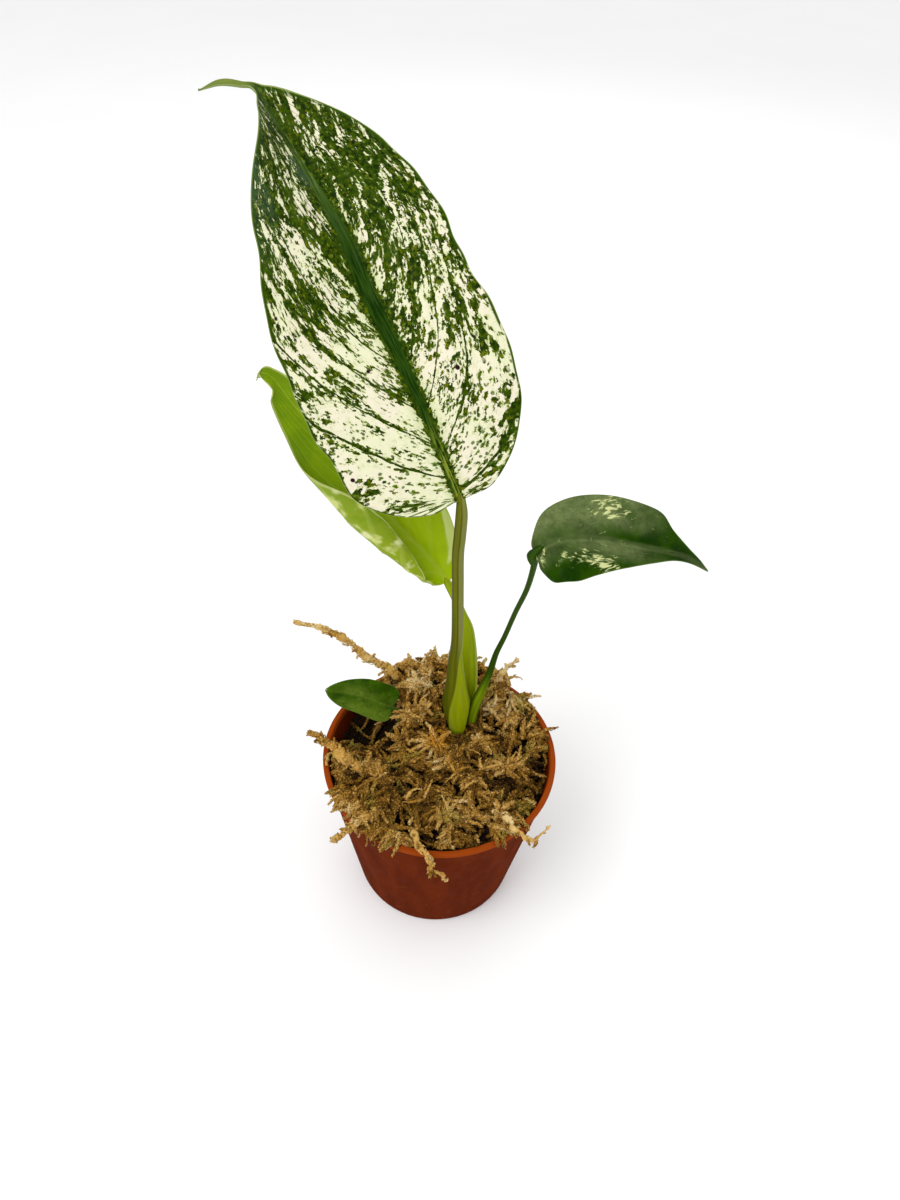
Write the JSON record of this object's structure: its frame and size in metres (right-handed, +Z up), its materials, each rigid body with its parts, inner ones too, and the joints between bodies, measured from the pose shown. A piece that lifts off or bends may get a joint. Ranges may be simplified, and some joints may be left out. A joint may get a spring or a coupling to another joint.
{
  "type": "potted plant",
  "caption": "Young potted monstera: a tall streaked leaf, a rolled young leaf and small dark leaves on slim stalks, rooted in moss in a round nursery pot.",
  "frame": {"origin": "centre of the pot's foot, on the surface that it stands on", "axes": "+Z up along the pot's axis, +X towards the low dark leaf, -Y towards the side that the tall leaf faces"},
  "size_m": [0.1275, 0.0982, 0.2204],
  "materials": {
    "terracotta_plastic": "thin moulded nursery-pot plastic in terracotta orange, satin",
    "potting_mix": "dark loose potting mix of bark and peat",
    "dry_moss": "dry straw-coloured sphagnum moss",
    "stalk_green": "fresh green stem and leafstalk, waxy",
    "streaked_blade": "cream leaf blade with dark green streaks along its veins, satin",
    "lime_blade": "soft lime-green young leaf blade, satin",
    "dark_blade": "dark green leaf blade with a grey sheen, glossy"
  },
  "bodies": {
    "root": {"pot": "terracotta_plastic", "potting_mix": "potting_mix", "moss": "dry_moss", "stem": "stalk_green", "big_stalk": "stalk_green", "young_stalk": "stalk_green", "low_stalk": "stalk_green", "small_stalk": "stalk_green", "big_leaf": "streaked_blade", "young_leaf": "lime_blade", "low_leaf": "dark_blade", "small_leaf": "dark_blade"}
  },
  "joints": []
}
